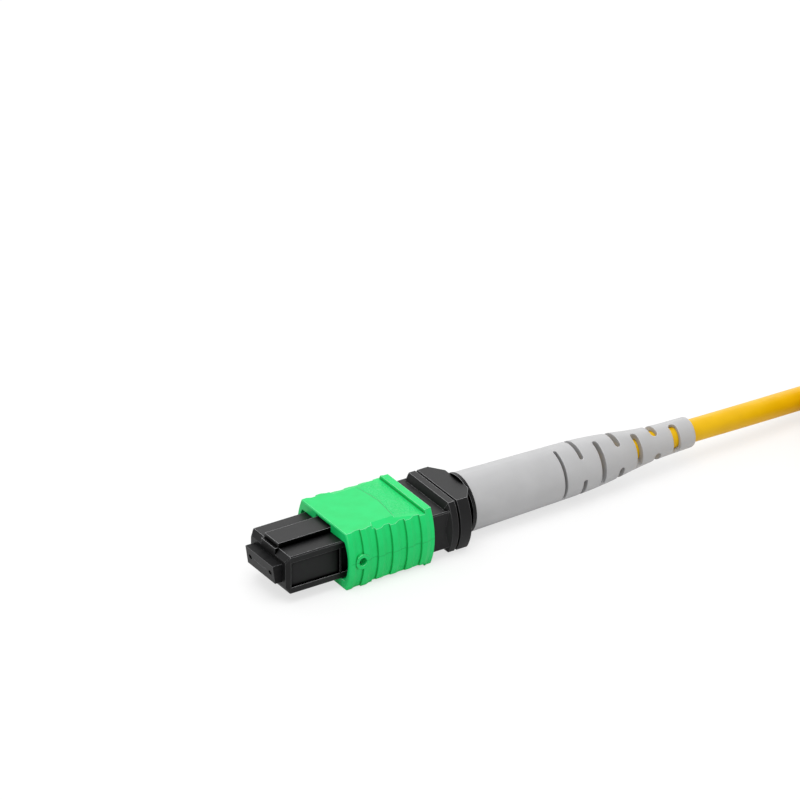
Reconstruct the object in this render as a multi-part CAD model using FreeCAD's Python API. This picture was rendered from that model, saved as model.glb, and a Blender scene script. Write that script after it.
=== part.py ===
import FreeCAD, Part
import math
import os

V = FreeCAD.Vector
os.makedirs("parts", exist_ok=True)
X_AXIS = V(1, 0, 0)
Y_AXIS = V(0, 1, 0)
Z_AXIS = V(0, 0, 1)

# ---------------------------------------------------------------- driving sizes (mm)
# x runs from the tip of the ferrule towards the cable; y = z = 0 is the fibre axis.
FERRULE_W = 6.4
FERRULE_H = 2.5
FERRULE_L = 8.0
FLANGE_RIM_Y = 0.3
FLANGE_RIM_Z = 0.25
FLANGE_L = 2.0
FACE_DEG = 8.0
FERRULE_GAP = 0.08
PIN_PITCH = 4.6
PIN_HOLE_R = 0.35
FIBRES = 12
FIBRE_PITCH = 0.25
GLASS_R = 0.0625
COATING_R = 0.1

HOUSING_WALL = 1.2
HOUSING_H = 5.24
HOUSING_FRONT = 1.15
BEVEL_END = 1.7
KEY_W = 3.2
KEY_H = 0.65
KEY_GAP = 0.3
KEY_FACE = 1.6
KEY_END = 11.3
GROOVE_H = 3.44
GROOVE_DEPTH = 0.3
POCKET_DEPTH = 0.53
CHANNEL_DEPTH = 0.35
REAR_STEP = 0.65
REAR_START = 21.5
RIDGE_START = 24.55
RIDGE_END = 25.45

SLEEVE_FRONT = 9.16
SLEEVE_REAR = 21.7
SLEEVE_SIDE = 1.8
SLEEVE_BOW = 0.99
SLEEVE_H = 7.96
RIBS = 5
RIB_FIRST = 11.3
RIB_PITCH = 2.12
RIB_LAND = 0.75
RIB_FALL = 0.6
RIB_RISE = 0.25
BAR_W = 1.0
SLEEVE_TRAVEL = 2.2

COLLAR_SIDE = 1.25
COLLAR_TOP_SIDE = 0.15
COLLAR_H = 7.08
COLLAR_SIDE_END = 27.35
COLLAR_END = 28.7
RING_R = 3.95
RING_END = 29.2
POST_R = 2.2
POST_END = 36.0

BOOT_END = 63.3
BOOT_TURN = 21.0
SLOT_ROWS = 7
SLOT_FIRST = 42.8
SLOT_PITCH = 2.93

CABLE_R = 1.5
JACKET_BORE = 0.95
HANK_X = 91.9
HANK_Y = 2.4
HANK_RUN = 30.0
HANK_BEND = 10.8
HANK_COLUMNS = 2
HANK_ROWS = 4
TIE_T = 0.6
TIE_W = 6.0

SLIDE_GAP = 0.1

# ---------------------------------------------------------------- sizes that follow from those
FLANGE_W = FERRULE_W + 2 * FLANGE_RIM_Y
FLANGE_H = FERRULE_H + 2 * FLANGE_RIM_Z
HOUSING_W = FERRULE_W + 2 * HOUSING_WALL
REAR_W = HOUSING_W + 2 * REAR_STEP
SLEEVE_W = HOUSING_W + 2 * SLEEVE_SIDE
SLEEVE_TOP_W = SLEEVE_W - 2 * SLEEVE_BOW
COLLAR_W = HOUSING_W + 2 * COLLAR_SIDE
COLLAR_TOP_W = HOUSING_W + 2 * COLLAR_TOP_SIDE
FLOOR = -SLEEVE_H / 2
TIP_LEAD = 0.5 * FERRULE_H * math.tan(math.radians(FACE_DEG))
PLACE = V(-0.5 * (BOOT_END - TIP_LEAD), 0, -FLOOR)


# ---------------------------------------------------------------- shape helpers
def block(x0, x1, y0, y1, z0, z1):
    return Part.makeBox(x1 - x0, y1 - y0, z1 - z0, V(x0, y0, z0))


def centred(x0, x1, half_y, half_z):
    return block(x0, x1, -half_y, half_y, -half_z, half_z)


def polygon(points):
    return Part.makePolygon(points + [points[0]])


def prism_x(x0, x1, yz):
    return Part.Face(polygon([V(x0, y, z) for y, z in yz])).extrude(V(x1 - x0, 0, 0))


def prism_y(half_y, xz):
    return Part.Face(polygon([V(x, -half_y, z) for x, z in xz])).extrude(V(0, 2 * half_y, 0))


def prism_z(z0, z1, xy):
    return Part.Face(polygon([V(x, y, z0) for x, y in xy])).extrude(V(0, 0, z1 - z0))


def rod(x0, x1, r, y=0.0, z=0.0):
    return Part.makeCylinder(r, x1 - x0, V(x0, y, z), X_AXIS)


def turned(xr):
    profile = Part.Face(polygon([V(x, 0, r) for x, r in xr]))
    return profile.revolve(V(0, 0, 0), X_AXIS, 360)


def fused(first, others):
    return first.fuse(others).removeSplitter()


def chamfered(half_y, half_z, c):
    return [(half_y, -half_z + c), (half_y, half_z - c), (half_y - c, half_z), (-half_y + c, half_z),
            (-half_y, half_z - c), (-half_y, -half_z + c), (-half_y + c, -half_z), (half_y - c, -half_z)]


def barrel_wire(x, half_top, half_mid, half_h):
    """Flat top and bottom, with bowed sides."""
    right = Part.Arc(V(x, half_top, half_h), V(x, half_mid, 0), V(x, half_top, -half_h))
    left = Part.Arc(V(x, -half_top, -half_h), V(x, -half_mid, 0), V(x, -half_top, half_h))
    top = Part.makeLine(V(x, -half_top, half_h), V(x, half_top, half_h))
    bottom = Part.makeLine(V(x, half_top, -half_h), V(x, -half_top, -half_h))
    return Part.Wire([right.toShape(), bottom, left.toShape(), top])


def barrel(x0, x1, half_top, half_mid, half_h):
    return Part.Face(barrel_wire(x0, half_top, half_mid, half_h)).extrude(V(x1 - x0, 0, 0))


def barrel_loft(x0, size0, x1, size1):
    return Part.makeLoft([barrel_wire(x0, *size0), barrel_wire(x1, *size1)], True, True)


def mirrored(shape):
    return shape.mirror(V(0, 0, 0), Y_AXIS)


def section(centre, heading, r, sides=0):
    """A ring square to the heading: a true circle, or a few-sided one for fine wire and strands."""
    if not sides:
        return Part.Wire([Part.makeCircle(r, centre, heading)])
    turn = FreeCAD.Rotation(Z_AXIS, heading)
    angles = [2 * math.pi * k / sides for k in range(sides)]
    return polygon([centre + turn.multVec(V(r * math.cos(a), r * math.sin(a), 0)) for a in angles])


def swept(points, share, r, sides=0, label=""):
    """A tube on straight runs joined by tangent arcs; each arc takes the given share of its shorter run."""
    heading = points[1] - points[0]
    ring = section(points[0], heading, r, sides)
    faces = [Part.Face(ring)]
    here = points[0]
    length = 0.0
    for k in range(1, len(points) - 1):
        before = points[k - 1] - points[k]
        after = points[k + 1] - points[k]
        cut = share * min(before.Length, after.Length)
        turn = math.pi - before.getAngle(after)
        before.normalize()
        after.normalize()
        radius = cut / math.tan(turn / 2)
        inward = before + after
        inward.normalize()
        centre = points[k] + inward * (radius / math.cos(turn / 2))
        run = points[k] + before * cut - here
        axis = after.cross(before)
        faces += ring.extrude(run).Faces
        ring.translate(run)
        faces += ring.revolve(centre, axis, math.degrees(turn)).Faces
        ring.rotate(centre, axis, math.degrees(turn))
        here = points[k] + after * cut
        length += run.Length + radius * turn
        if label:
            print("%s arc %d: turn %.1f deg, radius %.1f mm" % (label, k, math.degrees(turn), radius))
    run = points[-1] - here
    faces += ring.extrude(run).Faces
    ring.translate(run)
    faces.append(Part.Face(ring))
    shell = Part.Shell(faces)
    shell.sewShape()
    tube = Part.Solid(shell)
    if tube.Volume < 0:
        tube.reverse()
    return tube, length + run.Length


def export(name, shape):
    solid = shape.copy()
    solid.translate(PLACE)
    solid.exportStep("parts/" + name + ".step")
    low = solid.BoundBox
    print("%-22s valid %s  solids %d  vol %.3f  x %.2f..%.2f" % (
        name, solid.isValid(), len(solid.Solids), solid.Volume, low.XMin, low.XMax))


# ---------------------------------------------------------------- ferrule and what rides with it
WINDOW_START = 3.7
WINDOW_END = 5.9
flange_start = FERRULE_L - FLANGE_L
pin_y = PIN_PITCH / 2
fibre_y = [(i - 0.5 * (FIBRES - 1)) * FIBRE_PITCH for i in range(FIBRES)]
row_half = 0.5 * FIBRES * FIBRE_PITCH
slope = math.tan(math.radians(FACE_DEG))


def face_x(z):
    return -z * slope


body = prism_y(FERRULE_W / 2, [(face_x(FERRULE_H / 2), FERRULE_H / 2), (FERRULE_L, FERRULE_H / 2),
                               (FERRULE_L, -FERRULE_H / 2), (face_x(-FERRULE_H / 2), -FERRULE_H / 2)])
flange = prism_x(flange_start, FERRULE_L, chamfered(FLANGE_W / 2, FLANGE_H / 2, 0.2))
ferrule = fused(body, [flange])
ferrule = ferrule.cut(block(WINDOW_START, WINDOW_END, -row_half - 0.2, row_half + 0.2, -0.2, FERRULE_H))
ferrule = ferrule.cut(centred(WINDOW_END, FERRULE_L + 1, row_half + 0.25, 0.75))
for side in (-1, 1):
    ferrule = ferrule.cut(rod(-1, FERRULE_L + 1, PIN_HOLE_R, side * pin_y))
ferrule = ferrule.cut([rod(-1, WINDOW_START + 0.1, GLASS_R + 0.02, y) for y in fibre_y])
export("ferrule", ferrule)

window_epoxy = block(WINDOW_START + 0.05, WINDOW_END - 0.05, -row_half - 0.15, row_half + 0.15,
                     COATING_R + 0.04, FERRULE_H / 2 - 0.08)
export("window_epoxy", window_epoxy)

FERRULE_BOOT_END = 11.0
ferrule_boot = prism_x(WINDOW_END + 0.05, FERRULE_BOOT_END, chamfered(row_half + 0.2, 0.7, 0.25))
ferrule_boot = ferrule_boot.cut(centred(WINDOW_END - 1, FERRULE_BOOT_END + 1, row_half + 0.03, 0.15))
export("ferrule_boot", ferrule_boot)

KEEPER_END = 9.6
pin_keeper = prism_x(FERRULE_L, KEEPER_END, chamfered(FLANGE_W / 2 - 0.05, FLANGE_H / 2 - 0.05, 0.2))
pin_keeper = pin_keeper.cut(centred(FERRULE_L - 1, KEEPER_END + 1, pin_y + PIN_HOLE_R + 0.25, 0.78))
export("pin_keeper", pin_keeper)

# The flat ribbon gathers into a round bundle of an outer ring and an inner three.
BUNDLE_START = 19.0
BUNDLE_END = 34.0
FIBRE_END = 62.0
OUTER_FIBRES = 9
OUTER_RING = 0.55
INNER_RING = 0.2
ring_spots = [(OUTER_RING, 360.0 * k / OUTER_FIBRES) for k in range(OUTER_FIBRES)]
ring_spots += [(INNER_RING, 30.0 + 120.0 * k) for k in range(FIBRES - OUTER_FIBRES)]
spots = sorted((r * math.cos(math.radians(t)), r * math.sin(math.radians(t))) for r, t in ring_spots)
colours = ["blue", "orange", "green", "brown", "grey", "white",
           "red", "black", "yellow", "violet", "rose", "aqua"]


for i, y in enumerate(fibre_y):
    start = V(WINDOW_START + 0.15, y, 0)
    bundle = V(BUNDLE_END, spots[i][0], spots[i][1])
    strand = [start, V(BUNDLE_START, y, 0), bundle, V(FIBRE_END, bundle.y, bundle.z)]
    coated = swept(strand, 0.45, COATING_R, 8)[0]
    glass = swept([V(0, y, 0), start + V(0.1, 0, 0)], 0.45, GLASS_R, 8)[0]
    export("fibre_%02d_%s" % (i + 1, colours[i]), fused(coated, [glass]))

# ---------------------------------------------------------------- inner housing
CAVITY_Y = FLANGE_W / 2 + FERRULE_GAP
CAVITY_Z = FLANGE_H / 2 + FERRULE_GAP
CHANNEL_START = 11.6
CHANNEL_END = 19.6
half_w = HOUSING_W / 2
half_h = HOUSING_H / 2
groove_floor = half_w - GROOVE_DEPTH
pocket_floor = half_w - POCKET_DEPTH
channel_floor = half_w - CHANNEL_DEPTH
collar = (COLLAR_TOP_W / 2, COLLAR_W / 2, COLLAR_H / 2)

bevel = Part.makeLoft([polygon([V(HOUSING_FRONT, y, z) for y, z in chamfered(half_w - 0.35, half_h - 0.8, 0.15)]),
                       polygon([V(BEVEL_END, y, z) for y, z in chamfered(half_w, half_h, 0.15)])], True, True)
shell = prism_x(BEVEL_END, REAR_START + 0.5, chamfered(half_w, half_h, 0.15))
rear = prism_x(REAR_START, RIDGE_START + 0.4, chamfered(REAR_W / 2, half_h, 0.15))
key = prism_y(KEY_W / 2, [(HOUSING_FRONT, half_h - 0.85), (HOUSING_FRONT, half_h + 0.08), (KEY_FACE, half_h + 0.08),
                          (KEY_FACE + 0.05, half_h + KEY_H), (KEY_END, half_h + KEY_H), (KEY_END, half_h - 0.3)])
ramp = barrel_loft(RIDGE_START - 0.6, (REAR_W / 2 - 0.65, REAR_W / 2 + 0.05, half_h), RIDGE_START, collar)
ridge = barrel(RIDGE_START, RIDGE_END, *collar)
lug_y = half_w + 0.95
lug = block(CHANNEL_END, CHANNEL_END + 1.0, -lug_y, lug_y, -0.82, 0.82)
catch = prism_y(1.5, [(14.3, -half_h + 0.2), (14.3, -half_h), (15.1, -half_h - 0.28), (15.35, -half_h - 0.28),
                      (15.35, -half_h + 0.2)])
inner_housing = fused(shell, [bevel, key, rear, ramp, ridge, lug, catch])
for side in (-1, 1):
    far = side * (half_w + 1)
    groove = prism_z(-GROOVE_H / 2, GROOVE_H / 2, [(1.8, far), (1.8, side * half_w), (2.0, side * groove_floor),
                                                   (8.8, side * groove_floor), (8.8, far)])
    pocket = prism_z(-GROOVE_H / 2, GROOVE_H / 2, [(9.02, far), (9.02, side * pocket_floor),
                                                   (10.6, side * pocket_floor), (10.9, side * half_w), (10.9, far)])
    channel = prism_z(-0.82, 0.82, [(CHANNEL_START, far), (CHANNEL_START, side * channel_floor),
                                    (CHANNEL_END, side * channel_floor), (CHANNEL_END, far)])
    inner_housing = inner_housing.cut([groove, pocket, channel])
opening = centred(0.5, flange_start, FERRULE_W / 2 + FERRULE_GAP, FERRULE_H / 2 + FERRULE_GAP)
cavity = centred(flange_start, 26.0, CAVITY_Y, CAVITY_Z)
SNAP_START = 18.4
SNAP_END = 19.9
snap_windows = centred(SNAP_START, SNAP_END, 1.3, half_h + 1)
inner_housing = inner_housing.cut([opening, cavity, snap_windows])
export("inner_housing", inner_housing)

# ---------------------------------------------------------------- push-pull sleeve
top_half = SLEEVE_TOP_W / 2
mid_half = SLEEVE_W / 2
sleeve_half_h = SLEEVE_H / 2
full = (top_half, mid_half, sleeve_half_h)
waist = (top_half - RIB_RISE, mid_half - RIB_RISE, sleeve_half_h)
EDGE = 0.12
# Each rib is a step facing the front, a land, and a fall back to the waist; the front edge is a rib cut short.
pieces = [barrel_loft(SLEEVE_FRONT, tuple(size - EDGE for size in full), SLEEVE_FRONT + EDGE, full)]
for n in range(-1, RIBS):
    rib_x = max(RIB_FIRST + n * RIB_PITCH, SLEEVE_FRONT + EDGE)
    land_end = RIB_FIRST + n * RIB_PITCH + RIB_LAND
    pieces.append(barrel(rib_x, land_end, *full))
    pieces.append(barrel_loft(land_end, full, land_end + RIB_FALL, waist))
sleeve = fused(barrel(SLEEVE_FRONT + EDGE, SLEEVE_REAR, *waist), pieces)

HOLE_X = 11.09
HOLE_R = 0.55
eyelet_y = mid_half + 0.03
eyelet = Part.makeCylinder(HOLE_R + 0.45, 2 * eyelet_y, V(HOLE_X, -eyelet_y, 0), Y_AXIS)
sleeve = fused(sleeve, [eyelet])

# The corners are cut back from behind the front band to the rear bar, top and bottom.
bar_x = SLEEVE_REAR - BAR_W
top_z = sleeve_half_h
flat_y = top_half - 0.96
outline = prism_z(0, 5.0, [(12.8, top_half + 0.4), (13.4, flat_y), (bar_x, flat_y), (bar_x, 9), (12.8, 9)])
fall = prism_x(12, bar_x + 1, [(flat_y, top_z), (flat_y + 2.5, top_z - 0.96), (flat_y + 2.5, 5), (flat_y, 5)])
corner_cut = outline.common(fall)
corner_cuts = [corner_cut, mirrored(corner_cut)]
chevron = prism_z(0, 5.0, [(16.35, -7), (17.2, 0), (16.35, 7), (bar_x, 7), (bar_x, -7)])
wedge = prism_y(8, [(16.35, top_z - 0.1), (bar_x, top_z - 0.45), (bar_x, 5), (16.35, 5)])
top_cuts = corner_cuts + [chevron.common(wedge)]
under_cuts = [cut.mirror(V(0, 0, 0), Z_AXIS) for cut in top_cuts]

bore_y = half_w + SLIDE_GAP
bore_z = half_h + SLIDE_GAP
mouth = barrel_loft(SLEEVE_FRONT, (top_half - 0.26, mid_half - 0.45, bore_z),
                    RIB_FIRST, (top_half - 0.56, mid_half - 0.8, bore_z))
slide_bore = centred(SLEEVE_FRONT - 1, SLEEVE_REAR + 1, bore_y, bore_z)
rear_bore = centred(REAR_START - SLEEVE_TRAVEL - 0.1, SLEEVE_REAR + 1, REAR_W / 2 + SLIDE_GAP, bore_z)
notch_y = KEY_W / 2 + 0.12
key_notch = block(SLEEVE_FRONT - 1, KEY_END + 1.5, -notch_y, notch_y, 0, half_h + KEY_H + KEY_GAP)
spring_pocket = centred(12.0, SLEEVE_REAR + 1, lug_y + SLIDE_GAP, 0.95)
catch_pocket = block(15.4 - SLEEVE_TRAVEL - 1.3, 15.4, -1.7, 1.7, -half_h - 0.42, 0)
side_hole = Part.makeCylinder(HOLE_R, SLEEVE_W + 4, V(HOLE_X, -mid_half - 2, 0), Y_AXIS)
inside_cuts = [mouth, slide_bore, rear_bore, key_notch, spring_pocket, catch_pocket, side_hole]
coupling_sleeve = sleeve.cut(top_cuts + under_cuts + inside_cuts)
export("coupling_sleeve", coupling_sleeve)


# ---------------------------------------------------------------- coil springs
def coil(x0, x1, half_y, half_z, wire_r, turns, sides, y=0.0):
    """Closed end turns; half_y and half_z are the outer half sizes of an oval coil."""
    corners = [(half_y, -half_z), (half_y, half_z), (-half_y, half_z), (-half_y, -half_z)]
    total = 4 * turns
    weights = []
    for k in range(total):
        edge = min(k + 0.5, total - k - 0.5) / 4
        weights.append(1.0 if edge > 1.2 else 0.28 + 0.6 * edge)
    unit = (x1 - x0 - 2 * wire_r) / sum(weights)
    x = x0 + wire_r
    points = []
    for k in range(total + 1):
        side_y, side_z = corners[k % 4]
        points.append(V(x, y + side_y - math.copysign(wire_r, side_y), side_z - math.copysign(wire_r, side_z)))
        if k < total:
            x += unit * weights[k]
    return swept(points, 0.48, wire_r, sides)[0]


SEAT_X = 17.6
export("ferrule_spring", coil(KEEPER_END + 0.03, SEAT_X - 0.03, CAVITY_Y - 0.23, CAVITY_Z - 0.16, 0.2, 5, 6))
right_spring = coil(12.03, CHANNEL_END - 0.03, 0.58, 0.58, 0.09, 6, 4, -half_w - 0.36)
export("coupling_spring_right", right_spring)
export("coupling_spring_left", mirrored(right_spring))

# ---------------------------------------------------------------- spring push with the rear collar and post
stem = prism_x(SEAT_X, 26.0, chamfered(CAVITY_Y - 0.07, CAVITY_Z - 0.07, 0.15))
snap = prism_y(1.15, [(SNAP_START + 0.1, 0), (SNAP_START + 0.1, half_h - 0.75), (SNAP_START + 0.3, half_h - 0.35),
                      (SNAP_END - 0.1, half_h - 0.35), (SNAP_END - 0.1, 0)])
snaps = snap.fuse(snap.mirror(V(0, 0, 0), Z_AXIS))
rear_collar = barrel(RIDGE_END + 0.31, COLLAR_END, *collar)
for side in (-1, 1):
    corner = prism_z(-5, 5, [(COLLAR_SIDE_END, side * 8), (COLLAR_SIDE_END, side * (collar[0] - 0.05)),
                             (COLLAR_END, side * (collar[0] - 1.9)), (COLLAR_END, side * 8)])
    rear_collar = rear_collar.cut(corner)
ring = rod(COLLAR_END, RING_END, RING_R)
post = turned([(RING_END - 0.5, 0), (RING_END - 0.5, POST_R), (POST_END - 0.3, POST_R), (POST_END, POST_R - 0.3),
               (POST_END, 0)])
spring_push = fused(stem, [snaps, rear_collar, ring, post])
spring_push = spring_push.cut([centred(SEAT_X - 1, 26.8, row_half + 0.4, 0.75), rod(26.0, POST_END + 1, 1.35)])
barbs = []
for n in range(3):
    barb_x = RING_END + 1.8 + 1.4 * n
    barbs.append(turned([(barb_x, POST_R - 0.15), (barb_x, POST_R + 1), (barb_x + 0.6, POST_R + 1),
                         (barb_x + 0.6, POST_R - 0.15)]))
spring_push = spring_push.cut(barbs)
export("spring_push", spring_push)

# ---------------------------------------------------------------- crimp ring, strength yarn and jacket end
CRIMP_START = 30.0
YARN_R = POST_R + 0.25
crimp_in = YARN_R + 0.04
crimp_out = crimp_in + 0.42
NECK_START = 37.6
NECK_END = 41.6
neck_in = CABLE_R + 0.03
neck_out = neck_in + 0.4
crimp_ring = turned([(CRIMP_START, crimp_in), (CRIMP_START, crimp_out + 0.1), (CRIMP_START + 0.5, crimp_out + 0.1),
                     (CRIMP_START + 0.6, crimp_out), (36.6, crimp_out), (NECK_START + 0.2, neck_out),
                     (NECK_END, neck_out), (NECK_END, neck_in), (NECK_START, neck_in), (36.4, crimp_in)])
export("crimp_ring", crimp_ring)

yarn_bore = 0.74
aramid_yarn = turned([(CRIMP_START + 0.3, YARN_R), (36.3, YARN_R), (NECK_START - 0.15, JACKET_BORE - 0.03),
                      (BOOT_END, JACKET_BORE - 0.03), (BOOT_END, yarn_bore), (NECK_START - 0.35, yarn_bore),
                      (POST_END + 0.1, POST_R + 0.02), (CRIMP_START + 0.3, POST_R + 0.02)])
export("aramid_yarn", aramid_yarn)
jacket_end = rod(NECK_START + 0.1, BOOT_END, CABLE_R).cut(rod(NECK_START, BOOT_END + 1, JACKET_BORE))
export("jacket_end", jacket_end)

# ---------------------------------------------------------------- slotted bend boot
TIP_R = 2.0
LIP = 0.25
base = V(RING_END, 0, 3.88)
shoulder = V(48.6, 0, 3.4)
nape = V(56.8, 0, 2.15)
tip = V(BOOT_END - LIP, 0, TIP_R)


def toward(a, b, distance):
    step = b - a
    step.normalize()
    return a + step * distance


def blend(before, corner, after, cut):
    """The two tangent points and the arc between them."""
    a = toward(corner, before, cut)
    b = toward(corner, after, cut)
    half = (b - a).Length / 2
    depth = (corner - (a + b) * 0.5).Length
    sag = half * math.tan(math.atan2(depth, half) / 2)
    return a, b, Part.Arc(a, toward((a + b) * 0.5, corner, sag), b).toShape()


a0, a1, shoulder_arc = blend(base, shoulder, nape, 4.4)
b0, b1, nape_arc = blend(shoulder, nape, tip, 3.6)
flank = [Part.makeLine(base, a0), shoulder_arc, Part.makeLine(a1, b0), nape_arc, Part.makeLine(b1, tip)]
back = [tip, V(BOOT_END - 0.3 * LIP, 0, TIP_R - 0.3 * LIP), V(BOOT_END, 0, TIP_R - LIP), V(BOOT_END, 0, 0),
        V(RING_END, 0, 0), base]
rim = [Part.makeLine(back[k], back[k + 1]) for k in range(len(back) - 1)]
boot = Part.Face(Part.Wire(flank + rim)).revolve(V(0, 0, 0), X_AXIS, 360)
bore = turned([(RING_END - 1, 0), (RING_END - 1, crimp_out + 0.15), (36.9, crimp_out + 0.15),
               (NECK_START + 0.5, neck_out + 0.05), (NECK_END + 0.3, neck_out + 0.05),
               (NECK_END + 0.3, CABLE_R + 0.05), (BOOT_END + 1, CABLE_R + 0.05), (BOOT_END + 1, 0)])
boot = boot.cut(bore)


def arc_slot(x, width, half_span, middle):
    """A slot round part of the boot, open through its wall, with round ends."""
    r0 = CABLE_R - 0.2
    r1 = 5.0
    profile = polygon([V(x - width / 2, 0, r0), V(x + width / 2, 0, r0), V(x + width / 2, 0, r1),
                       V(x - width / 2, 0, r1)])
    start = middle - half_span
    face = Part.Face(profile)
    face.rotate(V(0, 0, 0), X_AXIS, start)
    slot = face.revolve(V(0, 0, 0), X_AXIS, 2 * half_span)
    ends = []
    for angle in (start, middle + half_span):
        a = math.radians(angle)
        radial = V(0, -math.sin(a), math.cos(a))
        ends.append(Part.makeCylinder(width / 2, r1 - r0, V(x, 0, 0) + radial * r0, radial))
    return slot.fuse(ends)


for row in range(SLOT_ROWS):
    width = 0.46 + 0.62 * (row / (SLOT_ROWS - 1.0)) ** 0.75
    on_side = row % 2 == 0
    quarter = 90 if on_side else 0
    half_span = 57.0 - 2.0 * row if on_side else 66.0 - 4.0 * row
    for opposite in (0, 180):
        middle = quarter + opposite - BOOT_TURN
        boot = boot.cut(arc_slot(SLOT_FIRST + SLOT_PITCH * row, width, half_span, middle))
export("boot", boot)

# ---------------------------------------------------------------- free cable: run, tied hank and tie
hank_low = FLOOR + TIE_T + 0.05
lay_z = hank_low + CABLE_R
route = [V(BOOT_END, 0, 0), V(71.8, 0, -0.15), V(80.6, 1.25, -1.05), V(89.0, 2.25, lay_z)]
cable_run, run_length = swept(route, 0.45, CABLE_R, label="cable")
export("cable_run", cable_run)
print("cable run: length %.2f, tube volume / section x length %.4f" % (
    run_length, cable_run.Volume / (run_length * math.pi * CABLE_R ** 2)))

# The cable comes in along the outside of the far run; the hank lies beside that line.
middle_y = HANK_Y - HANK_BEND - (HANK_COLUMNS - 1) * CABLE_R
middle_z = hank_low + HANK_ROWS * CABLE_R
half_turn = FreeCAD.Placement(V(0, 0, 0), FreeCAD.Rotation(Z_AXIS, 180), V(HANK_X + HANK_RUN / 2, middle_y, 0))


def bundle(x0, x1, grow):
    """One straight stretch of the bundled turns, on the side where the cable comes in."""
    stretch = prism_x(x0, x1, chamfered(HANK_COLUMNS * CABLE_R + grow, HANK_ROWS * CABLE_R + grow,
                                        0.57 * CABLE_R + 0.4 * grow))
    stretch.translate(V(0, middle_y + HANK_BEND, middle_z))
    return stretch


far_run = bundle(HANK_X, HANK_X + HANK_RUN, 0)
seam = min(far_run.Faces, key=lambda face: face.CenterOfMass.x)
bend = seam.revolve(V(HANK_X, middle_y, 0), Z_AXIS, 180)
near_half = [piece.transformGeometry(half_turn.toMatrix()) for piece in (far_run, bend)]
cable_hank = fused(far_run, [bend] + near_half)
export("cable_hank", cable_hank)
tie_x = HANK_X + HANK_RUN / 2 - TIE_W / 2
hank_tie = bundle(tie_x, tie_x + TIE_W, TIE_T + 0.03).cut(bundle(tie_x - 1, tie_x + TIE_W + 1, 0.03))
export("hank_tie", hank_tie)
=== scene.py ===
import math
import bpy
import numpy as np
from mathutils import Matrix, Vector


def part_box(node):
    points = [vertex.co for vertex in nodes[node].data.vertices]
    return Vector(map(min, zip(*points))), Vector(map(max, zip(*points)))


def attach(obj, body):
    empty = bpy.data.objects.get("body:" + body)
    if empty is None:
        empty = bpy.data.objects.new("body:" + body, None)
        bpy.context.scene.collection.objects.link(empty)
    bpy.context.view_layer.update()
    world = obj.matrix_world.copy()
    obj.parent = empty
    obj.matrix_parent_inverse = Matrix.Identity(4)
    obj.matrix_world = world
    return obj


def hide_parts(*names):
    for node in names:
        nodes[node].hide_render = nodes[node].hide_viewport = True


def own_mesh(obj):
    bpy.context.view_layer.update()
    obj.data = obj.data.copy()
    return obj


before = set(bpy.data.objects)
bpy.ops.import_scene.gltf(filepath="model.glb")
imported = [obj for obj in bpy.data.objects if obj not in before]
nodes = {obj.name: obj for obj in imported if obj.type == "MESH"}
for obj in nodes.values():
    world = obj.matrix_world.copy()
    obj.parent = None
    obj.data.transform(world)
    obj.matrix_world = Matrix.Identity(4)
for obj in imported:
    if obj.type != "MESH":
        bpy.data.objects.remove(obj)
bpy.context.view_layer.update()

# The viewpoint: a long lens stands to the front left of the plug and above it, so that the ferrule face,
# the wide key side and one ribbed narrow side of the sleeve are seen together and nothing converges much.
TURN, TILT = math.radians(32.27), math.radians(28.815)
STAND = Vector((-0.5881313, -0.9136859, 0.6155847))
looking = Vector((math.cos(TILT) * math.sin(TURN), math.cos(TILT) * math.cos(TURN), -math.sin(TILT)))
camera = bpy.data.objects.new("camera", bpy.data.cameras.new("camera"))
camera.data.sensor_width = 36.0
camera.data.lens = 450.0
camera.data.clip_start, camera.data.clip_end = 0.05, 20.0
camera.location = STAND
camera.rotation_mode = "QUATERNION"
camera.rotation_quaternion = looking.to_track_quat("-Z", "Y")
bpy.context.collection.objects.link(camera)
bpy.context.scene.camera = camera

# The free cable: one metre of 3 mm round cable, an extruded yellow jacket over yarn and twelve fibres. It leaves
# the boot, sinks to the table and is folded into a hank two cables wide and four high, which a strap holds.
MM = 0.001
TIP_X, AXIS_Z = -31.562162, 3.98


class Field:
    """A socket of one finish; each operator on numbers adds the Math node of that name."""

    def __init__(self, finish, socket):
        self.finish, self.socket = finish, socket

    def math(self, operation, *terms):
        """A Math node of this operation on the terms."""
        return self.finish.node("ShaderNodeMath", {"operation": operation}, *terms)

    def __add__(self, other):
        return self.math("ADD", self, other)

    def __radd__(self, other):
        return self.math("ADD", other, self)

    def __sub__(self, other):
        return self.math("SUBTRACT", self, other)

    def __rsub__(self, other):
        return self.math("SUBTRACT", other, self)

    def __mul__(self, other):
        return self.math("MULTIPLY", self, other)

    def __rmul__(self, other):
        return self.math("MULTIPLY", other, self)

    def __truediv__(self, other):
        return self.math("DIVIDE", self, other)

    def size(self):
        """Without its sign."""
        return self.math("ABSOLUTE", self)

    def wave(self):
        """Its sine, in radians."""
        return self.math("SINE", self)

    def most(self, other):
        """The larger of the two."""
        return self.math("MAXIMUM", self, other)

    def over(self, low, high):
        """0 below low, 1 above high, smooth between."""
        return self.finish.node("ShaderNodeMapRange", {"interpolation_type": "SMOOTHSTEP"}, self, low, high, 0.0, 1.0)

    def under(self, low, high):
        """1 below low, 0 above high, smooth between."""
        return self.finish.node("ShaderNodeMapRange", {"interpolation_type": "SMOOTHSTEP"}, self, low, high, 1.0, 0.0)


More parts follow.
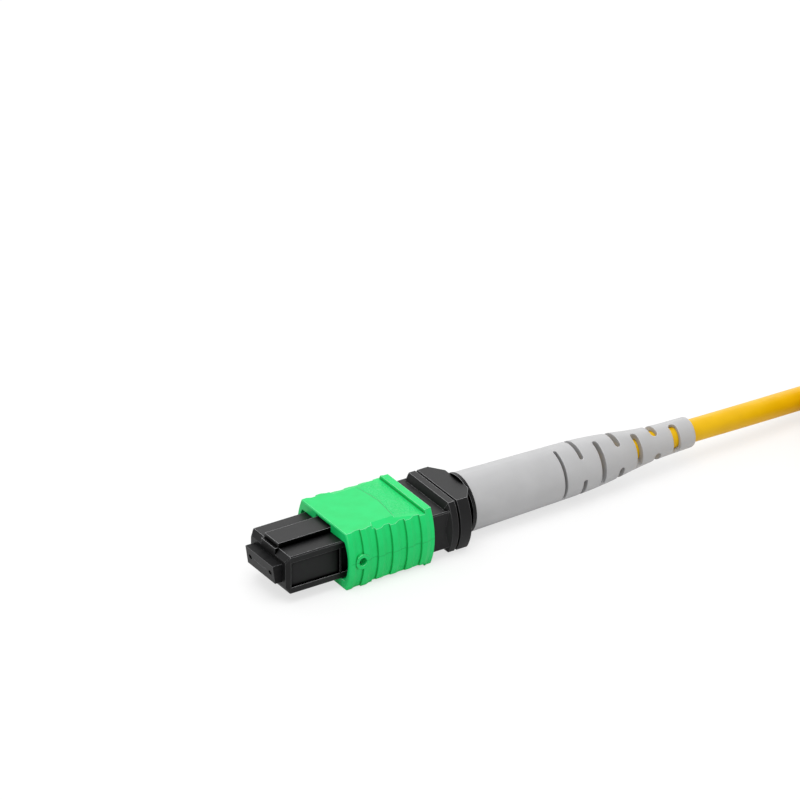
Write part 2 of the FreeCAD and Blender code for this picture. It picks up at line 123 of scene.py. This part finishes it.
class Nodes:
    """An emptied node tree and the ways to fill it."""

    def __init__(self, tree):
        self.tree = tree
        tree.nodes.clear()

    def node(self, kind, settings, *values, output=0, **named):
        """Any node: its settings first, then the values or links of its inputs by place or by name."""
        made = self.tree.nodes.new(kind)
        for key, value in settings.items():
            setattr(made, key, value)
        for key, value in list(enumerate(values)) + list(named.items()):
            self.fill(made.inputs[key if isinstance(key, int) else key.replace("_", " ")], value)
        return Field(self, made.outputs[output]) if made.outputs else None

    def fill(self, socket, value):
        """Links a field to the socket, or sets it to a value."""
        if isinstance(value, Field):
            self.tree.links.new(value.socket, socket)
        else:
            socket.default_value = value

    def mix(self, factor, a, b):
        """Colour a where factor is 0, colour b where it is 1. The Mix node keeps its colours in inputs 6 and 7 and
        output 2."""
        made = self.node("ShaderNodeMix", {"data_type": "RGBA"}, factor).socket.node
        self.fill(made.inputs[6], a)
        self.fill(made.inputs[7], b)
        return Field(self, made.outputs[2])


class Finish(Nodes):
    """A material with one surface shader, named after its slot in the record."""

    def __init__(self, name, **fixed):
        self.material = bpy.data.materials.new(name)
        self.material.use_nodes = True
        super().__init__(self.material.node_tree)
        self.shader = self.node("ShaderNodeBsdfPrincipled", {})
        self.surface = self.shader.socket.node
        self.node("ShaderNodeOutputMaterial", {}, self.shader)
        self.put(**fixed)

    def put(self, **inputs):
        """Sets or links the surface's sockets; an underscore stands for a space."""
        for key, value in inputs.items():
            self.fill(self.surface.inputs[key.replace("_", " ")], value)

    def axes(self):
        """x, y and z in millimetres from the tip of the ferrule, on the fibre axis."""
        place = self.node("ShaderNodeTexCoord", {}, output="Object")
        split = self.node("ShaderNodeSeparateXYZ", {}, place).socket.node
        x, y, z = (Field(self, socket) / MM for socket in split.outputs)
        return x - TIP_X, y, z - AXIS_Z

    def noise(self, per_mm, detail=2.0, stretch=(1.0, 1.0, 1.0)):
        """Even noise from 0 to 1 with about per_mm grains to the millimetre, drawn out where stretch is small."""
        place = self.node("ShaderNodeTexCoord", {}, output="Object")
        place = self.node("ShaderNodeMapping", {}, place, Scale=stretch)
        return self.node("ShaderNodeTexNoise", {}, Vector=place, Scale=per_mm / MM, Detail=detail)

    def rounded(self, radius):
        """The normal carried round the edges over radius, in millimetres."""
        return self.node("ShaderNodeBevel", {"samples": 6}, radius * MM)

    def painted_edge_highlight(self, rounded, aside=0.3):
        """A painted highlight along each outward edge: where the rounded normal leaves the face's own, out of the
        grooves; 1 where it looks up, as if lit from above, and aside where it looks to a side."""
        flat = self.node("ShaderNodeNewGeometry", {}, output="Normal")
        turned = 1 - self.node("ShaderNodeVectorMath", {"operation": "DOT_PRODUCT"}, rounded, flat, output="Value")
        upward = self.node("ShaderNodeSeparateXYZ", {}, rounded, output="Z")
        looks = aside + (1 - aside) * upward.over(0.15, 0.7)
        return turned.over(0.004, 0.09) * self.hollow(0.3).under(0.06, 0.25) * looks

    def hollow(self, reach):
        """How closed in the surface is within reach, in millimetres: 0 in the open, towards 1 deep in a groove."""
        settings = {"samples": 8, "only_local": True}
        return 1 - self.node("ShaderNodeAmbientOcclusion", settings, Distance=reach * MM, output="AO")

    def relief(self, height, rounded=None):
        """Height in millimetres, as bump over the rounded normal."""
        named = {"Normal": rounded} if rounded else {}
        self.put(Normal=self.node("ShaderNodeBump", {}, Height=height, Distance=MM, Strength=1.0, **named))

    def dress(self, *pieces):
        """Makes this the only material of each piece."""
        for piece in pieces:
            piece.data.materials.clear()
            piece.data.materials.append(self.material)


def tone(r, g, b):
    """A display colour from 0 to 255 as the linear colour that the shader takes."""
    shares = [c / 255 for c in (r, g, b)]
    return [c / 12.92 if c <= 0.04045 else ((c + 0.055) / 1.055) ** 2.4 for c in shares] + [1.0]


CABLE_R = 1.5
HANK_X, HANK_RUN, HANK_Y, HANK_LOW = 60.337838, 30.0, -9.9, 2.15
BENDS, LAYERS = (12.3, 9.3), 4
ON_RUN, ROUND, LAST_POINT = 3, 8, 167
TURN_POINTS = 2 * (ON_RUN + ROUND)
CROSSING = 0.62
# The first four points run from the boot down to the table. A place is a turn's fold radius and height: the two turns
# of a layer swap sides in the next, so that each change of layer is straight up.
route = [(31.737838, 0, 3.98), (40.237838, 0, 3.83), (49.037838, 1.25, 2.93), (57.437838, 2.25, 2.15)]
places = [(BENDS[(row + column) % 2], HANK_LOW + 2 * CABLE_R * row) for row in range(LAYERS) for column in (0, 1)]
places.append(places[-1])
half_step = math.pi / ROUND / 2


def hank_point(k):
    """Control point k: ON_RUN points on each straight run, ROUND about each end. The radius is that of the turn's
    place in the bundle over the cosine of half a step, so that the line itself runs at that radius. A turn moves to
    the next place over what is left of it from CROSSING on."""
    lap, j = divmod(k, TURN_POINTS)
    along = max(0.0, (j / TURN_POINTS - CROSSING) / (1 - CROSSING))
    along = along * along * (3 - 2 * along)
    (bend0, high0), (bend1, high1) = places[lap], places[lap + 1]
    bend, high = bend0 + (bend1 - bend0) * along, high0 + (high1 - high0) * along
    lead = bend * math.tan(half_step)
    side, i = divmod(j, ON_RUN + ROUND)
    away = 1 if side == 0 else -1
    if i < ON_RUN:
        x = lead + (HANK_RUN - 2 * lead) * i / (ON_RUN - 1)
        return HANK_X + (x if side == 0 else HANK_RUN - x), HANK_Y + away * bend, high
    angle = math.pi / 2 - math.pi * side - (2 * (i - ON_RUN) + 1) * half_step
    reach = bend / math.cos(half_step)
    middle = HANK_X + (HANK_RUN if side == 0 else 0)
    return middle + reach * math.cos(angle), HANK_Y + reach * math.sin(angle), high


route += [hank_point(k) for k in range(1, LAST_POINT)]
line = bpy.data.curves.new("cable", "CURVE")
line.dimensions = "3D"
spline = line.splines.new("NURBS")
spline.points.add(len(route) - 1)
spline.points.foreach_set("co", np.array([[x * MM, y * MM, z * MM, 1.0] for x, y, z in route]).ravel())
spline.order_u = 3
spline.use_endpoint_u = True
line.resolution_u = 6
line.bevel_depth = CABLE_R * MM
line.bevel_resolution = 8
line.use_fill_caps = True
cable = bpy.data.objects.new("cable", line)
bpy.context.collection.objects.link(cable)

jacket = Finish("yellow_jacket", IOR=1.46, Specular_IOR_Level=0.3)
cloud = jacket.noise(0.35)
fine = jacket.noise(5.0, 3.0)
jacket.put(Base_Color=jacket.mix(cloud.over(0.3, 0.7), tone(234, 184, 0), tone(239, 190, 4)),
           Roughness=0.34 + 0.14 * fine)
jacket.relief(0.006 * fine + 0.03 * jacket.noise(0.6))
jacket.dress(cable, nodes["jacket_end"])
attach(cable, "plug")
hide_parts("cable_run", "cable_hank")

# The strap: a woven hook-and-loop band, 6 mm wide and 0.6 mm thick, wrapped once round the tied side of the hank
# and pressed down on its own end on the top.
STRAP_T, STRAP_LAP, STRAP_CORNER, STRAP_CLIMB = 0.6, 5.0, 1.7, 2.0
STRAP_STEPS, EDGE_STEPS = 260, 40
THREAD_RATE = 9.0


def shaped(name, points, closed, spans=(1.0, 1.0), capped=False):
    """A mesh over the grid points[i, j], in millimetres: every cell is one face. closed says whether i and j run
    back to their start, capped fills the first and last rows, and UV is (i, j) times spans."""
    rows, columns = points.shape[:2]
    i, j = np.meshgrid(np.arange(rows - 1 + closed[0]), np.arange(columns - 1 + closed[1]), indexing="ij")
    corners = [(i, j), (i + 1, j), (i + 1, j + 1), (i, j + 1)]
    faces = np.stack([(a % rows) * columns + b % columns for a, b in corners], axis=-1).reshape(-1, 4)
    uv = np.stack([np.stack([a * spans[0], b * spans[1]], axis=-1) for a, b in corners], axis=2).reshape(-1, 2)
    caps = []
    if capped:
        caps = [list(range(columns)), list(range((rows - 1) * columns, rows * columns))[::-1]]
        uv = np.vstack([uv, np.zeros((2 * columns, 2))])
    mesh = bpy.data.meshes.new(name)
    mesh.from_pydata((points.reshape(-1, 3) * MM).tolist(), [], faces.tolist() + caps)
    mesh.uv_layers.new(name="UVMap").data.foreach_set("uv", uv.astype(np.float32).ravel())
    mesh.polygons.foreach_set("use_smooth", np.ones(len(mesh.polygons), bool))
    made = bpy.data.objects.new(name, mesh)
    bpy.context.collection.objects.link(made)
    return made


def carried(path, outward, profile):
    """The profile's points carried along the path: each ring is path + a * outward + b * across, where a and b are
    the profile's two numbers and across stands square to the path and to outward."""
    ahead = np.gradient(path, axis=0)
    ahead /= np.linalg.norm(ahead, axis=1, keepdims=True)
    outward = outward - ahead * np.sum(outward * ahead, axis=1, keepdims=True)
    outward /= np.linalg.norm(outward, axis=1, keepdims=True)
    across = np.cross(ahead, outward)
    a, b = profile[None, :, :1], profile[None, :, 1:]
    return path[:, None] + a * outward[:, None] + b * across[:, None]


def band_line(half_y, half_z, corner, run):
    """Places and outward directions at lengths run round a rectangle with rounded corners, from the middle of its
    top: straight, quarter circle, and so on, as the corner's centre plus the corner's radius along outward."""
    count = 2001
    steps = np.linspace(0, 1, count)[:, None]
    turn = np.pi / 2 * np.arange(5)
    signs = [(1, 1), (1, -1), (-1, -1), (-1, 1), (1, 1)]
    centres = np.array(signs) * [half_y - corner, half_z - corner]
    angle = np.concatenate([np.full(count, turn[0])] + [
        np.concatenate([turn[k] + np.pi / 2 * steps[:, 0], np.full(count, turn[k + 1])]) for k in range(4)])
    middle = np.array([[0.0, half_z - corner]])
    centre = [middle + (centres[0] - middle) * steps]
    for k in range(4):
        end = centres[k + 1] if k < 3 else middle[0]
        centre += [np.repeat(centres[k:k + 1], count, axis=0), centres[k] + (end - centres[k]) * steps]
    normal = np.stack([np.sin(angle), np.cos(angle)], axis=1)
    spots = np.concatenate(centre) + corner * normal
    length = np.concatenate([[0], np.cumsum(np.linalg.norm(np.diff(spots, axis=0), axis=1))])
    lap = run % length[-1]
    pick = [np.interp(lap, length, column) for column in (spots[:, 0], spots[:, 1], normal[:, 0], normal[:, 1])]
    return np.stack(pick[:2], axis=1), np.stack(pick[2:], axis=1), length[-1]


low, high = (np.array(corner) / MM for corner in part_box("hank_tie"))
middle, half = (low + high) / 2, (high - low) / 2 - STRAP_T / 2
once_round = band_line(half[1], half[2], STRAP_CORNER, np.zeros(1))[2]
run = np.linspace(-STRAP_LAP / 2, once_round + STRAP_LAP / 2, STRAP_STEPS)
spots, normals, _ = band_line(half[1], half[2], STRAP_CORNER, run)
lift = np.clip((run - once_round + STRAP_LAP / 2 + STRAP_CLIMB) / STRAP_CLIMB, 0, 1)
spots = spots + normals * (STRAP_T * lift ** 2 * (3 - 2 * lift))[:, None]
band = np.column_stack([np.full(len(run), middle[0]), spots[:, 0] + middle[1], spots[:, 1] + middle[2]])
out = np.column_stack([np.zeros(len(run)), normals])
# Its section is flat with soft edges: the sine over the thickness and the cosine over the width, each to the power
# of a quarter, which draws the circle out to a rounded oblong.
around = np.linspace(0, 2 * np.pi, EDGE_STEPS, endpoint=False)
thick, wide = (np.sign(f) * np.abs(f) ** 0.25 for f in (np.sin(around), np.cos(around)))
section = np.column_stack([thick * STRAP_T / 2, wide * (half[0] + STRAP_T / 2)])
in_mm = (once_round / 240, 0.35)
strap = shaped("strap", carried(band, out, section), (False, True), in_mm, capped=True)
weave = Finish("tie_fabric", Roughness=0.85, Sheen_Weight=0.3)
lay = weave.node("ShaderNodeSeparateXYZ", {}, weave.node("ShaderNodeTexCoord", {}, output="UV")).socket.node
along, across = (Field(weave, socket) for socket in lay.outputs[:2])
threads = (along * THREAD_RATE).wave() * (across * THREAD_RATE).wave()
weave.put(Base_Color=weave.mix(threads.over(-0.6, 0.9), tone(16, 16, 18), tone(44, 44, 48)))
weave.relief(threads * 0.05 + weave.noise(4.0) * 0.03)
weave.dress(strap)
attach(strap, "plug")
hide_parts("hank_tie")

# The free end of the cable: cut square through the jacket, with the golden aramid yarn trimmed just proud of it and
# the twelve coloured fibres a little longer, nine in a ring and three inside, for the installer to splice.
YARN_R, YARN_OUT, YARN_SIDES = 1.05, 0.7, 36
FIBRE_R, FIBRE_OUT, FIBRE_SIDES = 0.125, 2.6, 10
FIBRE_LEAN, FIBRE_SHORTER = 0.9, 0.09
OUTER, OUTER_R, INNER_R = 9, 0.55, 0.2
END_RINGS, DOME, SUNK = 15, 0.9, 0.1
far_end = np.array(route[-1])
onward = far_end - np.array(route[-2])
onward = onward / np.linalg.norm(onward)
sideways = np.cross(onward, (0, 0, 1))
above = np.cross(sideways, onward)


def end_tube(name, start, lean, radius, length, sides):
    """A round tube on the free end: its middle runs onward from just inside start and leans out with the square of
    the way gone. From DOME on its radius falls as a quarter circle does, to a fifth, where a cap closes it."""
    gone = np.linspace(0, 1, END_RINGS)[:, None]
    path = far_end + start + onward * length * (gone - SUNK) + lean * gone ** 2
    turn = np.linspace(0, 2 * np.pi, sides, endpoint=False)
    ring = np.column_stack([np.sin(turn), np.cos(turn)])
    tube = carried(path, np.tile(above, (END_RINGS, 1)), ring)
    close = radius * np.sqrt(1 - np.clip((gone - DOME) / (1 - DOME), 0, 0.98) ** 2)
    return shaped(name, path[:, None] + (tube - path[:, None]) * close[:, :, None], (False, True), capped=True)


aramid = Finish("aramid", Roughness=0.7, Sheen_Weight=0.4)
strands = aramid.noise(9.0, 3.0, (0.08, 1.0, 1.0))
aramid.put(Base_Color=aramid.mix(strands.over(0.3, 0.7), tone(180, 146, 52), tone(232, 206, 120)))
aramid.relief(0.08 * strands)
cut_yarn = end_tube("cut_yarn", 0.0, 0.0, YARN_R, YARN_OUT, YARN_SIDES)
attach(cut_yarn, "plug")
aramid.dress(cut_yarn, nodes["aramid_yarn"])
COATINGS = {"blue": (24, 92, 196), "orange": (240, 128, 30), "green": (40, 160, 70), "brown": (120, 76, 44),
            "grey": (140, 144, 150), "white": (236, 236, 232), "red": (206, 40, 40), "black": (24, 24, 26),
            "yellow": (244, 206, 40), "violet": (120, 70, 160), "rose": (240, 140, 170), "aqua": (80, 196, 200)}
cut_fibres = []
for place, colour in enumerate(COATINGS):
    count, ring_r = (OUTER, OUTER_R) if place < OUTER else (len(COATINGS) - OUTER, INNER_R)
    turned = 2 * math.pi * place / count
    start = (sideways * math.cos(turned) + above * math.sin(turned)) * ring_r
    length = FIBRE_OUT - FIBRE_SHORTER * (place % 4)
    fibre = end_tube("cut_fibre_" + colour, start, start * FIBRE_LEAN, FIBRE_R, length, FIBRE_SIDES)
    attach(fibre, "plug")
    cut_fibres.append(fibre)
[c * MM for c in route[0]]

# The twelve fibres: glass 0.125 mm thick with a coloured lacquer coat, stripped bare where they lie in the ferrule
# and polished off with its face. Each keeps its place in the standard order of twelve colours.
STRIPPED, DULL = 3.75, 0.8
for place, (colour, shade) in enumerate(COATINGS.items(), 1):
    coating = Finish("coating_" + colour, IOR=1.5)
    coated = coating.axes()[0].over(STRIPPED, STRIPPED + 0.05)
    grain = coating.noise(8.0)
    lacquer = coating.mix(grain.over(0.3, 0.7), tone(*shade), tone(*(DULL * c for c in shade)))
    coating.put(Base_Color=coating.mix(coated, tone(44, 46, 50), lacquer),
                Roughness=0.3 - 0.15 * coated + 0.1 * grain)
    coating.relief(0.002 * grain)
    coating.dress(nodes["fibre_%02d_%s" % (place, colour)], cut_fibres[place - 1])

# The ferrule and the keeper behind it: moulded in black glass-filled composite, the end face ground to 8 degrees
# and polished smooth, the sides left as moulded, with a faint flow of short glass in them.
SLANT = math.tan(math.radians(8))
composite = Finish("black_composite", IOR=1.48, Specular_IOR_Level=0.12)
x, _, z = composite.axes()
ground = (x + z * SLANT).under(0.015, 0.03)
flow = composite.noise(3.0, 4.0, (0.25, 1.0, 1.0))
grain = composite.noise(14.0, 3.0)
rounded = composite.rounded(0.05)
body = composite.mix(flow.over(0.35, 0.75), tone(18, 18, 19), tone(30, 30, 31))
body = composite.mix(ground, body, tone(12, 12, 13))
# Painted highlight: a pale grey line along the outward edges, brightest on edges that look up.
composite.put(Base_Color=composite.mix(composite.painted_edge_highlight(rounded), body, tone(165, 165, 167)),
              Roughness=0.46 - 0.2 * ground + 0.12 * grain)
composite.relief(0.006 * grain * (1 - ground), rounded)
composite.dress(nodes["ferrule"], nodes["pin_keeper"])

# The window in the top of the ferrule, filled with epoxy that cures to an amber gloss over the fibres, and behind
# the ferrule the soft black rubber boot that grips the ribbon, dull with a little bloom.
epoxy = Finish("epoxy", Roughness=0.12, IOR=1.54, Coat_Weight=0.6)
epoxy.put(Base_Color=epoxy.mix(epoxy.noise(1.2).over(0.3, 0.7), tone(176, 118, 46), tone(204, 150, 70)))
epoxy.relief(0.02 * epoxy.noise(1.5), epoxy.rounded(0.08))
epoxy.dress(nodes["window_epoxy"])
rubber = Finish("black_rubber", Specular_IOR_Level=0.35)
bloom = rubber.noise(2.0, 3.0)
rubber.put(Base_Color=rubber.mix(bloom.over(0.4, 0.8), tone(20, 20, 20), tone(38, 38, 39)),
           Roughness=0.6 + 0.2 * bloom)
rubber.relief(0.01 * rubber.noise(9.0), rubber.rounded(0.08))
rubber.dress(nodes["ferrule_boot"])

# The springs: drawn steel wire, bright from the die. An oval coil presses the ferrule forward from the spring
# push, and a small round coil on each side carries the sleeve back to the front after a pull.
WIRE_STEPS, WIRE_SIDES, CLOSED_RATE = 36, 14, 0.3


def coil(name, node, half_y, half_z, wire, turns, middle_y=0.0, squareness=(1.0, 1.0)):
    """Round wire carried along a helix between the ends of its CAD node. Angle runs evenly; x starts and ends at
    CLOSED_RATE, so that the first and last turn lie closed, and runs evenly between. In y and z the loop is cosine
    and sine to the power of its squareness: a circle or oval at 1, flat-sided below."""
    low, high = (np.array(corner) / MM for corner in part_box(node))
    t = np.linspace(0, 1, turns * WIRE_STEPS + 1)
    closed = 1 / turns
    rate = CLOSED_RATE + (1 - CLOSED_RATE) * np.clip(np.minimum(t, 1 - t) / closed, 0, 1) ** 2
    x = np.cumsum(rate)
    x = low[0] + wire + (high[0] - low[0] - 2 * wire) * (x - x[0]) / (x[-1] - x[0])
    angle = 2 * np.pi * turns * t
    c, s = np.cos(angle), np.sin(angle)
    y = np.sign(c) * np.abs(c) ** squareness[0] * (half_y - wire)
    z = np.sign(s) * np.abs(s) ** squareness[1] * (half_z - wire)
    path = np.column_stack([x, y + middle_y, z + AXIS_Z])
    turn = np.linspace(0, 2 * np.pi, WIRE_SIDES, endpoint=False)
    ring = wire * np.column_stack([np.sin(turn), np.cos(turn)])
    out = np.column_stack([np.zeros_like(c), c / half_y, s / half_z])
    made = shaped(name, carried(path, out, ring), (False, True), capped=True)
    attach(made, "plug")
    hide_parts(node)
    return made


steel = Finish("spring_steel", Metallic=1.0)
drawn = steel.noise(1.5, 4.0, (6.0, 1.0, 1.0))
steel.put(Base_Color=steel.mix(drawn.over(0.3, 0.7), tone(176, 176, 178), tone(206, 205, 202)),
          Roughness=0.2 + 0.2 * drawn)
steel.relief(0.004 * steel.noise(10.0))
ferrule_coil = coil("ferrule_coil", "ferrule_spring", half_y=3.35, half_z=1.42, wire=0.2, turns=6,
                    squareness=(0.62, 0.8))
steel.dress(ferrule_coil)
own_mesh(ferrule_coil)
for side, sign in (("left", 1), ("right", -1)):
    side_coil = coil("coupling_coil_" + side, "coupling_spring_" + side, half_y=0.58, half_z=0.58, wire=0.09,
                     turns=9, middle_y=sign * 4.76)
    steel.dress(side_coil)
    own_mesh(side_coil)

# The inner housing and the spring push that snaps into it: black nylon, satin from a lightly etched mould, with
# painted highlights along its outward edges. Collar, ring and post are one moulding with the push. Its crevices carry
# painted shade: they are painted black, and metallic, because a black metal has no gloss either.
nylon = Finish("black_plastic", IOR=1.5, Specular_IOR_Level=0.2)
mottle = nylon.noise(0.4, 3.0)
grain = nylon.noise(11.0, 3.0)
rounded = nylon.rounded(0.09)
# Painted shade: how closed in a crevice is within 1.9 mm, taken to black, rough and metallic.
painted_crevice_shade = nylon.hollow(1.9).over(0.08, 0.38)
body = nylon.mix(mottle.over(0.3, 0.7), tone(14, 14, 15), tone(20, 20, 21))
body = nylon.mix(painted_crevice_shade, body, tone(0, 0, 0))
# Painted highlight: a pale line along the outward edges, brighter where they look up.
nylon.put(Base_Color=nylon.mix(nylon.painted_edge_highlight(rounded, aside=0.2), body, tone(185, 185, 187)),
          Roughness=0.34 + 0.06 * mottle + 0.1 * grain + 0.4 * painted_crevice_shade, Metallic=painted_crevice_shade)
nylon.relief(0.005 * grain, rounded)
nylon.dress(nodes["inner_housing"], nodes["spring_push"])

# Crimp ring: an aluminium tube with fine turning lines round it, pressed over the yarn that is laid back along
# the post.
crimp = Finish("crimp_metal", Metallic=1.0)
lathe = crimp.noise(9.0, 2.0, (1.0, 0.05, 0.05))
crimp.put(Base_Color=crimp.mix(lathe, tone(188, 188, 190), tone(214, 214, 214)), Roughness=0.28 + 0.2 * lathe)
crimp.relief(0.01 * lathe, crimp.rounded(0.08))
crimp.dress(nodes["crimp_ring"])

# The push-pull sleeve: bright green filled nylon, sparkled top and bottom panels behind a chevron, and a thin
# parting line along the middle of each ribbed side. It slides 2.2 mm on the housing.
BAR_FRONT, PANEL_SIDE, PANEL_DEPTH, SLEEVE_TOP = 20.7, 4.3, 0.5, 3.98
CHEVRON_TIP, CHEVRON_SWEEP = 17.2, 0.121
PARTING_FRONT = 9.4
sleeve = Finish("green_plastic", IOR=1.5, Specular_IOR_Level=0.28)
x, y, z = sleeve.axes()
depth = SLEEVE_TOP - z.size()
parting = z.size().under(0.02, 0.06) * x.over(PARTING_FRONT, PARTING_FRONT + 0.1)
mottle = sleeve.noise(0.5, 3.0)
grain = sleeve.noise(10.0, 3.0)
sparkle = sleeve.noise(3.2, 2.0).over(0.42, 0.62)
rounded = sleeve.rounded(0.11)
# Painted shade in the creases between the ribs and in other hollows.
painted_crease_shade = sleeve.hollow(0.35).over(0.12, 0.5) * 0.8
front = x - CHEVRON_TIP + CHEVRON_SWEEP * y.size()
# Painted shade: a thin dark line along the chevron's step, which the bump also sinks a little.
chevron = front.size().under(0.03, 0.09)
within = depth.under(PANEL_DEPTH - 0.03, PANEL_DEPTH) * y.size().under(PANEL_SIDE - 0.1, PANEL_SIDE)
panel = front.over(0.0, 0.1) * x.under(BAR_FRONT - 0.06, BAR_FRONT) * within
chevron = chevron * within
body = sleeve.mix(mottle.over(0.3, 0.7), tone(14, 211, 108), tone(19, 217, 115))
body = sleeve.mix(sparkle * panel * 0.25, body, tone(80, 232, 145))
# Painted highlight: a pale mint line along the outward edges, brightest where they look up.
body = sleeve.mix(sleeve.painted_edge_highlight(rounded, aside=0.0) * 0.8, body, tone(190, 255, 220))
# Painted shade in the creases and along the chevron's step, with the darker parting line, all mixed towards a deep
# green.
painted_shade_and_parting = painted_crease_shade.most(parting * 0.35).most(chevron * 0.7)
sleeve.put(Base_Color=sleeve.mix(painted_shade_and_parting, body, tone(0, 130, 48)), Roughness=0.43 + 0.04 * mottle + 0.08 * grain)
sleeve.relief(0.004 * grain + 0.05 * sparkle * panel - 0.03 * parting - 0.05 * chevron, rounded)
sleeve.dress(nodes["coupling_sleeve"])

# The bend boot: pale grey soft elastomer with two staggered rows of slots that open towards the cable, so that it
# stiffens evenly to the plug. Its slot lips are rounded and its skin is matt.
elastomer = Finish("grey_elastomer", IOR=1.45, Specular_IOR_Level=0.6)
cloud = elastomer.noise(0.3, 3.0)
grain = elastomer.noise(9.0, 3.0)
rounded = elastomer.rounded(0.2)
body = elastomer.mix(cloud.over(0.3, 0.7), tone(181, 181, 182), tone(186, 186, 187))
# Painted shade: darker grey deep in the slots and other hollows.
body = elastomer.mix(elastomer.hollow(0.6).over(0.25, 0.8) * 0.5, body, tone(128, 128, 130))
# Painted highlight: a pale line along the slot lips and outward edges.
elastomer.put(Base_Color=elastomer.mix(elastomer.painted_edge_highlight(rounded) * 0.8, body, tone(226, 226, 227)),
              Roughness=0.36 + 0.12 * grain)
elastomer.relief(0.008 * grain + 0.03 * elastomer.noise(0.5), rounded)
elastomer.dress(nodes["boot"])

# The stage: a plain white table in a soft white room, with one broad lamp overhead and one at the back. Seen
# directly or in a gloss, table and room are their own plain white, and only a part of each shadow shows.
REACH, UNDER = 3.0, -0.00002
SHOWN_WHITE, SHOWN_IN_GLOSS, ROOM_LIGHT = 0.68, 0.35, 0.6
WHITE, LIT_GREY = (1.0, 1.0, 1.0, 1.0), (0.75, 0.75, 0.75, 1.0)


def shown(finish, shine=1.0):
    """1 for rays that the eye follows, straight or through glass, shine for those by gloss, 0 for light only."""
    rays = finish.node("ShaderNodeLightPath", {}).socket.node
    straight, gloss, through = (Field(finish, rays.outputs["Is %s Ray" % kind])
                                for kind in ("Camera", "Glossy", "Transmission"))
    return straight.most(gloss * shine).most(through)


table_mesh = bpy.data.meshes.new("table")
corners = [(x * REACH, y * REACH, UNDER) for x, y in ((-1, -1), (1, -1), (1, 1), (-1, 1))]
table_mesh.from_pydata(corners, [], [(0, 1, 2, 3)])
table = bpy.data.objects.new("table", table_mesh)
bpy.context.collection.objects.link(table)
paper = Finish("paper", Roughness=0.9, Specular_IOR_Level=0.0)
paper.put(Base_Color=paper.mix(shown(paper), LIT_GREY, WHITE))
glow = paper.node("ShaderNodeEmission", {}, WHITE, 1.0)
blend = paper.node("ShaderNodeMixShader", {}, shown(paper, SHOWN_IN_GLOSS) * SHOWN_WHITE, paper.shader, glow)
paper.fill(paper.tree.nodes["Material Output"].inputs["Surface"], blend)
paper.dress(table)
world = bpy.data.worlds.new("studio")
bpy.context.scene.world = world
world.use_nodes = True
room = Nodes(world.node_tree)
walls = room.node("ShaderNodeBackground", {}, WHITE, ROOM_LIGHT + (1 - ROOM_LIGHT) * shown(room))
room.node("ShaderNodeOutputWorld", {}, walls)


def lamp(name, place, size, watts):
    """A square soft lamp that faces the middle of the part."""
    light = bpy.data.lights.new(name, "AREA")
    light.shape, light.size, light.energy = "SQUARE", size, watts
    made = bpy.data.objects.new(name, light)
    made.location = place
    made.rotation_mode = "QUATERNION"
    made.rotation_quaternion = (-Vector(place)).to_track_quat("-Z", "Y")
    bpy.context.collection.objects.link(made)


lamp("key", (-0.12, -0.10, 0.75), 0.6, 3.4)
lamp("behind", (0.49, 0.76, 0.51), 0.8, 2.0)
bpy.context.scene.view_settings.view_transform = "Standard"
